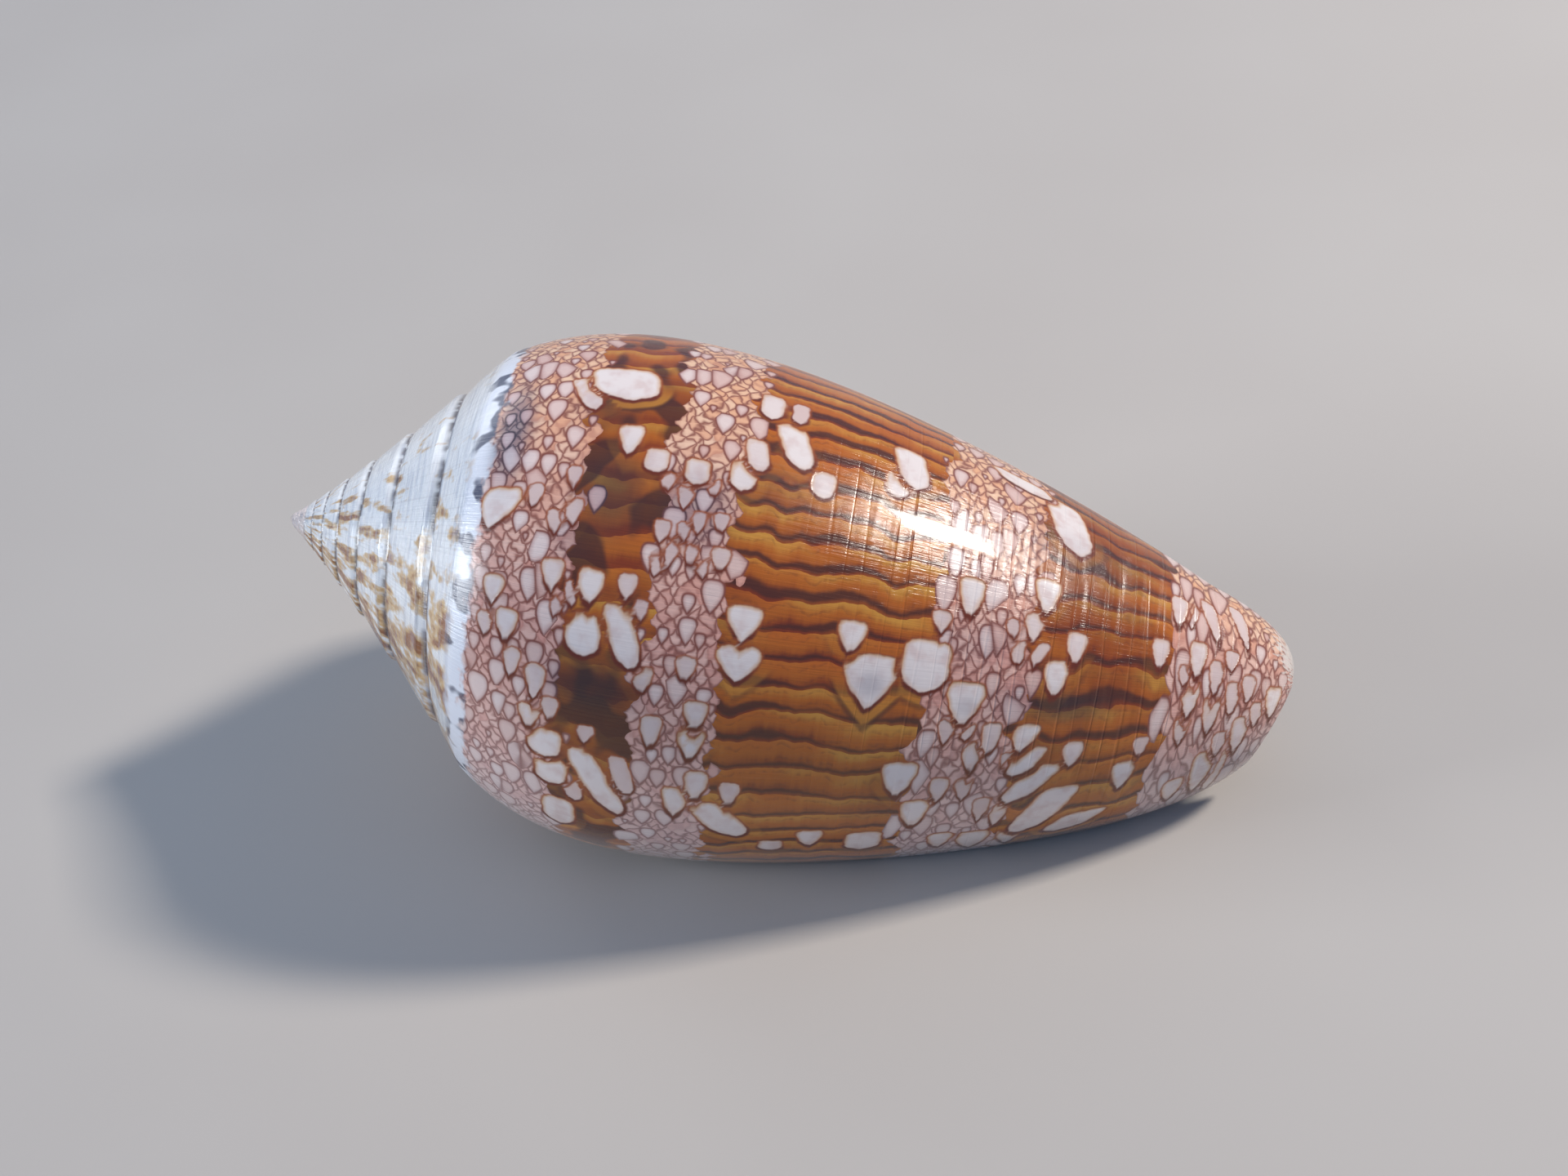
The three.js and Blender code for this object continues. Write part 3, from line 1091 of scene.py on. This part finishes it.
streaks = grain(2.2, 0.2, seed=20.0) - 0.5
age = since_rest + uneven + streaks * STREAKS
hue = grain(0.12, 0.3, seed=80.0).rise(0.35, 0.65)
young = hue.mix(paint(190, 100, 28), paint(204, 142, 56))
ripe = hue.mix(paint(134, 54, 18), paint(154, 78, 26))
gold = age.rise(0.0, 0.5).mix(young, paint(180, 96, 24))
gold = age.rise(0.4, 0.85).mix(gold, ripe)
deep = grain(0.06, 0.13, seed=95.0).rise(0.5, 0.66)
gold = wash(gold, paint(118, 46, 16), deep, strength=0.5)
# Near the lip the gold is lighter, partly paler new shell and partly painted bounce light from the
# floor.
gold = wash(gold, paint(196, 128, 50), lip_pale_and_bounce, strength=0.5)
thick = grain(0.1, 0.14, seed=65.0).rise(0.4, 0.65)
dark = (since_rest + uneven + thick * THICKENING).rise(0.7, 0.88) * since_rest.rise(1.0, 0.84)
half_phase = phase * 2.0 + fine_wave
faint = (half_phase - half_phase.floor()).rise(0.3, 0.1) * streaks.rise(-0.2, 0.2) * FAINTNESS
dark = here.math("MAXIMUM", dark, faint)
blotches = grain(0.34, 0.34, seed=70.0, detail=1.0).rise(0.47, 0.58)
blotchy = along.rise(bands[0][1] + BLOTCH_STRAY, bands[0][1])
dark = dark + (blotches - dark) * blotchy
band_colour = wash(gold, paint(76, 40, 28), dark, strength=0.85)
print("nodes with the bands", len(finish.node_tree.nodes))

# %% [markdown]
# ## Halos and smoke in the bands
#
# Below the largest tents the next dark line keeps its distance, and a gold halo with a dark rim
# repeats the point of the tent. The smoky patches darken the bands nearly to black. After that the
# bands and the scales come together in one colour.

# %% Halos and smoke in the bands
HALO_WIDTH = 0.75
HALO_SOFTNESS = 0.2
RIM_WIDTH = 0.5
SMALL_TENT = 0.4
BIG_TENT = 0.95
HALO_TENTS = (1.2, 1.8)
LEAST_HALO = 0.3

tent_size = tent_half.rise(SMALL_TENT, BIG_TENT)
haloed = under * (LEAST_HALO + (1.0 - LEAST_HALO) * tent_half.rise(*HALO_TENTS)) * tent_size
halo = tent.rise(HALO_WIDTH + HALO_SOFTNESS, HALO_WIDTH) * haloed
rim_start = tent.rise(HALO_WIDTH - HALO_SOFTNESS / 2, HALO_WIDTH + HALO_SOFTNESS / 2)
rim = rim_start * tent.rise(HALO_WIDTH + RIM_WIDTH, HALO_WIDTH + HALO_SOFTNESS) * haloed
band_colour = wash(band_colour, paint(200, 132, 48), halo, strength=0.75)
band_colour = wash(band_colour, paint(80, 44, 30), rim, strength=0.65)
band_colour = wash(band_colour, paint(64, 46, 44), smoke, strength=0.8)
net_colour = in_band.mix(small_colour, band_colour)
net_colour = scale_line.mix(net_colour, line_colour)
body_colour = scale_white.mix(net_colour, scale_colour)
print("nodes with the halos", len(finish.node_tree.nodes))

# %% [markdown]
# ## Tents in colour
#
# The large tents lie over both. The distance on the corners is roughened a little, since no tent
# has a ruled edge. The dark outline hugs the growing side, and on the older side the white fades
# into a warm fringe, where the enamel is thin over the colour below.

# %% Tents in colour
EDGE_ROUGHNESS = 0.2
OUTLINE = 0.1
UNDER_OUTLINE = 0.18
LEAST_BOLD = 0.35
OUTLINE_SOFTNESS = 0.11
WHITE_EDGE = (0.07, -0.1)
FRINGE_EDGE = (-0.35, 0.05)
FRINGE_LOSS = 0.7
VEILING = 0.6

rough_edge = grain(1.3, 1.3, seed=30.0, detail=1.0)
tent_here = tent + (rough_edge - 0.5) * EDGE_ROUGHNESS
bold = under * (LEAST_BOLD + (1.0 - LEAST_BOLD) * tent_size)
outlined = (tent_here - (bold * UNDER_OUTLINE + OUTLINE)).rise(OUTLINE_SOFTNESS, -OUTLINE_SOFTNESS)
white = tent_here.rise(*WHITE_EDGE)
fringe = tent_here.rise(*FRINGE_EDGE) * (1.0 - under * FRINGE_LOSS) * tent_size
veil = grain(0.9, 0.9, seed=90.0).rise(0.4, 0.8)
opaque = tent_size * (1.0 - veil * VEILING)
white_colour = opaque.mix(paint(214, 184, 176), paint(235, 221, 215))
white_colour = wash(white_colour, paint(120, 116, 132), smoke, strength=0.4)
white_colour = fringe.mix(white_colour, paint(212, 164, 120))
outline_colour = under.mix(paint(160, 82, 40), paint(110, 46, 24))
body_colour = outlined.mix(body_colour, outline_colour)
body_colour = white.mix(body_colour, white_colour)
print("nodes with the tents", len(finish.node_tree.nodes))

# %% [markdown]
# ## Wear, painted glint and bounce light
#
# The front tip is rubbed pale, and the paleness reaches further back on the upper side, where it is
# partly a painted glint. The wear has a ragged edge. The newest shell along the lip is thin and a
# little pale as well, and that paleness is partly painted bounce light from the floor.

# %% Wear, glint and bounce light
WORN_FROM = 58.0
WORN_TO = 60.5
WORN_RAGGED = 6.0
WORN_AND_GLINT_UPPER_SIDE = 2.5
UPPER_SIDE = (0.2, 0.34)
LIP_FADE = 0.06
LIP_PALE_AND_BOUNCE = 0.4

ragged = (rough_edge - 0.5) * WORN_RAGGED
# Painted glint: on the upper side the pale tip reaches further back, partly wear and partly a painted
# glint.
wear_glint_and_bounce = (along + ragged + turn.rise(*UPPER_SIDE) * WORN_AND_GLINT_UPPER_SIDE).rise(WORN_FROM, WORN_TO)
# Painted light: the pale strip along the lip is partly thin new shell and partly painted bounce light
# from the floor.
wear_glint_and_bounce = here.math("MAXIMUM", wear_glint_and_bounce, turn.rise(LIP_FADE, 0.0) * LIP_PALE_AND_BOUNCE)
body_colour = wear_glint_and_bounce.mix(body_colour, paint(226, 214, 204))
print("nodes with the worn places", len(finish.node_tree.nodes))

# %% [markdown]
# ## Spire in colour
#
# The spire is mostly bare white shell. Tan flames run from seam to seam, more of them on the side of
# the lip, and painted grey-brown shade darkens the grooves. Fine grey-blue lines along the seams are
# painted shade that lets the fine spiral grooves show, and grey lines run across them with the
# growth.

# %% Spire in colour
FLECKING = 0.3
LIP_SIDE_FLAMES = 0.14
LEAST_GROOVE_SHADE = 0.2
MORE_GROOVE_SHADE = 0.75
OLDEST_TURNS = (6.0, 7.5)

lip_side = here.math("COSINE", turn * (2.0 * math.pi))
flames = grain(0.3, 0.4, seed=11.0, detail=3.0)
flecks = grain(1.2, 1.0, seed=5.0)
flame_age = flames + (flecks - 0.5) * FLECKING + lip_side * LIP_SIDE_FLAMES
spire_colour = flame_age.rise(0.5, 0.64).mix(paint(240, 238, 236), paint(212, 174, 122))
spire_colour = flame_age.rise(0.62, 0.76).mix(spire_colour, paint(148, 90, 46))
groove = here.math("MAXIMUM", ramp.rise(0.1, 0.0), ramp.rise(0.9, 1.0) * turn.rise(0.96, 1.0))
broken = grain(0.2, 0.5, seed=15.0).rise(0.35, 0.55)
# Painted shade: the seam grooves are darkened grey-brown, more in some stretches than others.
groove_shade = groove * (LEAST_GROOVE_SHADE + broken * MORE_GROOVE_SHADE)
spire_colour = groove_shade.mix(spire_colour, paint(74, 58, 58))
spire_colour = turn.rise(*OLDEST_TURNS).mix(spire_colour, paint(232, 214, 206))
striae = grain(3.0, 0.15, seed=51.0, detail=3.0, roughness=0.6)
growth_lines = grain(0.1, 5.0, seed=31.0, detail=4.0, roughness=0.65)
# Painted shade: grey-blue along the fine spiral lines, so that the grooves show away from the glints.
spire_colour = wash(spire_colour, paint(166, 168, 184), striae.rise(0.45, 0.7), strength=0.35)
spire_colour = wash(spire_colour, paint(184, 176, 176), growth_lines.rise(0.5, 0.75), strength=0.3)
print("nodes with the spire", len(finish.node_tree.nodes))

# %% [markdown]
# ## Shoulder and inside
#
# At the shoulder slate patches alternate with white, in a ragged ring between the spire and the
# body. Inside the opening the shell is plain and milky. Here all the parts of the skin come together
# in one colour.

# %% Shoulder and inside
SHOULDER_EDGE = (-1.2, 0.2)
SHOULDER_RAGGED = 1.5
LAST_WHORL = (1.0, 0.97)
BODY_EDGE = (0.8, 1.4)
BODY_RAGGED = 1.6
INSIDE_EDGE = (0.1, 0.9)
INSIDE_CLOUDS = 220.0

slate = here.math("MAXIMUM", grain(0.3, 0.4, seed=21.0).rise(0.53, 0.61), smoke)
shoulder_colour = slate.mix(paint(228, 228, 234), paint(92, 92, 108))
near_shoulder = (along + (flecks - 0.5) * SHOULDER_RAGGED).rise(*SHOULDER_EDGE)
spire_colour = (near_shoulder * turn.rise(*LAST_WHORL)).mix(spire_colour, shoulder_colour)
body_share = (along + (flecks - 0.5) * BODY_RAGGED).rise(*BODY_EDGE)
outer_colour = body_share.mix(spire_colour, body_colour)
inner_colour = here.cloud(INSIDE_CLOUDS).mix(paint(232, 222, 212), paint(214, 200, 196))
skin_colour = inside.rise(*INSIDE_EDGE).mix(outer_colour, inner_colour)
print("nodes with all the colours", len(finish.node_tree.nodes))

# %% [markdown]
# ## Gloss and relief
#
# The enamel is naturally polished, and what breaks up its shine are fine growth lines along the
# lip and spiral threads round the front half, which are weaker on the tents. The spire has the lines
# beside its seams and low lumps. All of this is far smaller than the mesh, so it is a bump. The
# shine itself is a clear coat over a slightly duller base, and it is strongest on the spire.

# %% Gloss and relief
THREADS_PER_MM = 0.9
THREAD_WANDER = 1.2
THREAD_HALF = 0.1
THREADS_FROM = (20.0, 34.0)
GROWTH_RELIEF = 0.42
THREAD_RELIEF = 0.45
TENT_SMOOTHING = 0.55
STRIAE_RELIEF = 2.0
LUMP_RELIEF = 1.5
RELIEF = 0.08 * MM
LEAST_ROUGHNESS = 0.1
GROWTH_ROUGHNESS = 0.2
BODY_COAT = 0.2
MORE_SPIRE_COAT = 0.6
COAT_ROUGHNESS = 0.08

thread = along * THREADS_PER_MM + grain(0.3, 0.03, seed=41.0) * THREAD_WANDER
thread_gap = abs(thread - thread.floor() - 0.5)
thread_depth = grain(0.7, 0.05, seed=46.0).rise(0.25, 0.6)
threads = thread_gap.rise(0.0, THREAD_HALF) * along.rise(*THREADS_FROM) * thread_depth
on_spire = along.rise(0.0, -1.0)
lumps = grain(0.9, 0.6, seed=56.0, detail=3.0)
on_body = (growth_lines * GROWTH_RELIEF + threads * THREAD_RELIEF) * (1.0 - white * TENT_SMOOTHING)
relief = on_body + (striae * STRIAE_RELIEF + lumps * LUMP_RELIEF) * on_spire
bump = {"Height": relief, "Strength": 1.0, "Distance": RELIEF}
varying = {
    "Base Color": skin_colour,
    "Roughness": growth_lines * GROWTH_ROUGHNESS + LEAST_ROUGHNESS,
    "Coat Weight": on_spire * MORE_SPIRE_COAT + BODY_COAT,
    "Normal": here.node("ShaderNodeBump", {}, bump),
}
for name, wire in varying.items():
    finish.node_tree.links.new(wire.socket, surface.inputs[name])
surface.inputs["Coat Roughness"].default_value = COAT_ROUGHNESS
shell_mesh.materials.append(finish)
print("nodes in all", len(finish.node_tree.nodes))

# %% [markdown]
# ## Floor
#
# A plain pale floor shows the object and nothing else. It is a single face.

# %% Floor
FLOOR_SIZE = 3.0
FLOOR_CLOUDS = 30.0
FLOOR_ROUGHNESS = 0.8

floor_bm = bmesh.new()
bmesh.ops.create_grid(floor_bm, x_segments=1, y_segments=1, size=FLOOR_SIZE / 2)
floor_mesh = bpy.data.meshes.new("floor")
floor_bm.to_mesh(floor_mesh)
floor = bpy.data.objects.new("floor", floor_mesh)
bpy.context.scene.collection.objects.link(floor)
floor_finish, floor_surface, floor_here = new_material("pale_floor")
floor_colour = floor_here.cloud(FLOOR_CLOUDS).mix(paint(180, 172, 165), paint(186, 179, 172))
floor_finish.node_tree.links.new(floor_colour.socket, floor_surface.inputs["Base Color"])
floor_surface.inputs["Roughness"].default_value = FLOOR_ROUGHNESS
floor_mesh.materials.append(floor_finish)
print("floor faces", len(floor_mesh.polygons))

# %% [markdown]
# ## Light
#
# Three square panels light the shell. The key is small and high on the right, a little behind, so
# the long highlight and the shadow fall as in the photograph. A larger panel low on the left shines
# back from the spire, and a weak one on the left behind gives the last whorl its sheen. A pale blue
# world fills the shadows.

# %% Light
KEY_DIRECTION = Vector((0.65, 0.25, 0.72))
KEY_DISTANCE = 0.65
KEY_SIZE = 0.09
KEY_POWER = 4.1
FILL_DIRECTION = Vector((-1.0, -0.22, 0.27))
FILL_DISTANCE = 1.3
FILL_SIZE = 0.48
FILL_POWER = 12.0
SHEEN_DIRECTION = Vector((-0.71, 0.62, 0.4))
SHEEN_POWER = 2.1
WARM_LIGHT = (1.0, 0.94, 0.86)
COOL_LIGHT = (0.9, 0.95, 1.0)
WORLD_BLUE = (0.4, 0.63, 1.05, 1.0)
WORLD_STRENGTH = 0.4


def add_panel(name, direction, distance, size, power, colour):
    panel = bpy.data.lights.new(name, "AREA")
    panel.size = size
    panel.energy = power
    panel.color = colour
    lamp = bpy.data.objects.new(name, panel)
    lamp.visible_camera = False
    lamp.location = TARGET + direction.normalized() * distance
    lamp.rotation_euler = direction.to_track_quat("Z", "Y").to_euler()
    bpy.context.scene.collection.objects.link(lamp)


add_panel("key", KEY_DIRECTION, KEY_DISTANCE, KEY_SIZE, KEY_POWER, WARM_LIGHT)
add_panel("fill", FILL_DIRECTION, FILL_DISTANCE, FILL_SIZE, FILL_POWER, COOL_LIGHT)
add_panel("sheen", SHEEN_DIRECTION, FILL_DISTANCE, FILL_SIZE, SHEEN_POWER, COOL_LIGHT)
world = bpy.data.worlds.new("studio")
world.use_nodes = True
backdrop = world.node_tree.nodes["Background"]
backdrop.inputs["Color"].default_value = WORLD_BLUE
backdrop.inputs["Strength"].default_value = WORLD_STRENGTH
bpy.context.scene.world = world
bpy.context.scene.view_settings.view_transform = "Standard"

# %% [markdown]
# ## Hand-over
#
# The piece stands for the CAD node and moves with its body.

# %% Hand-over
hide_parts("shell")
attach(shell, "root")
